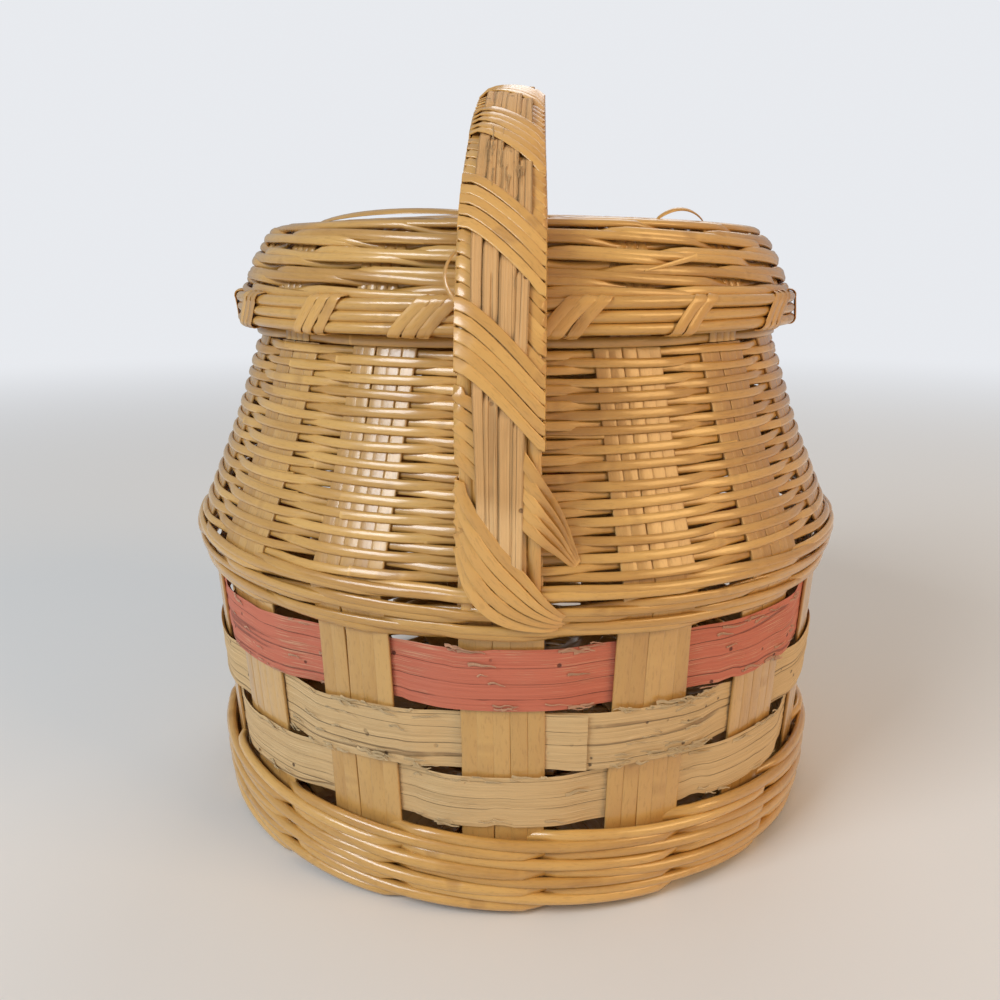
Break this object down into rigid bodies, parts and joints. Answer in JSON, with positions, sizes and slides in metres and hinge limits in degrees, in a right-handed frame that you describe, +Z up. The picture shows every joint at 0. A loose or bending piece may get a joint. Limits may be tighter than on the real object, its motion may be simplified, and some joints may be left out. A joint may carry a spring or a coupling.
{
  "type": "wicker creel",
  "caption": "Round lidded wicker creel with a broad belly, narrow mouth, wide woven splints, a one-piece domed lid and a fixed wrapped bow handle.",
  "frame": {"origin": "on the floor under the middle of the basket, the middle of the base's resting face", "axes": "+Z up, the handle's bow stands in the YZ plane, the lid leaves along +X"},
  "size_m": [0.345, 0.3492, 0.3647],
  "materials": {
    "cane": "satin golden split cane",
    "stake_cane": "satin flat cane",
    "handle_cane": "matte to satin cane",
    "natural_splint": "matte fibrous splint",
    "coral_splint": "matte dyed splint"
  },
  "bodies": {
    "basket": {"base_mat": "cane", "base_hub": "cane", "stake_01": "stake_cane", "stake_02": "stake_cane", "stake_03": "stake_cane", "stake_04": "stake_cane", "stake_05": "stake_cane", "stake_06": "stake_cane", "stake_07": "stake_cane", "stake_08": "stake_cane", "stake_09": "stake_cane", "stake_10": "stake_cane", "stake_11": "stake_cane", "stake_12": "stake_cane", "stake_13": "stake_cane", "stake_14": "stake_cane", "stake_15": "stake_cane", "stake_16": "stake_cane", "foot_weave": "cane", "splint_lower": "natural_splint", "splint_middle": "natural_splint", "splint_dyed": "coral_splint", "waist_weave": "cane", "upper_weave": "cane", "mouth_hoop": "cane", "handle_bow": "handle_cane", "handle_core": "handle_cane", "handle_leader": "handle_cane", "handle_wraps": "cane"},
    "lid": {"lid_rim_rod_1": "cane", "lid_rim_rod_2": "cane", "lid_rim_rod_3": "cane", "lid_rim_lashings": "cane", "lid_wall_weave": "cane", "lid_top_weave": "cane", "lid_stake_01": "stake_cane", "lid_stake_02": "stake_cane", "lid_stake_03": "stake_cane", "lid_stake_04": "stake_cane", "lid_stake_05": "stake_cane", "lid_stake_06": "stake_cane", "lid_stake_07": "stake_cane", "lid_stake_08": "stake_cane", "lid_stake_09": "stake_cane", "lid_stake_10": "stake_cane", "lid_stake_11": "stake_cane", "lid_stake_12": "stake_cane", "lid_stake_13": "stake_cane", "lid_stake_14": "stake_cane", "lid_stake_15": "stake_cane", "lid_stake_16": "stake_cane", "lid_hub": "cane"}
  },
  "joints": [
    {"name": "lid_off", "type": "slide", "parent": "basket", "child": "lid", "axis": [0.9976, 0, 0.0698], "range_m": [0, 0.32]}
  ]
}
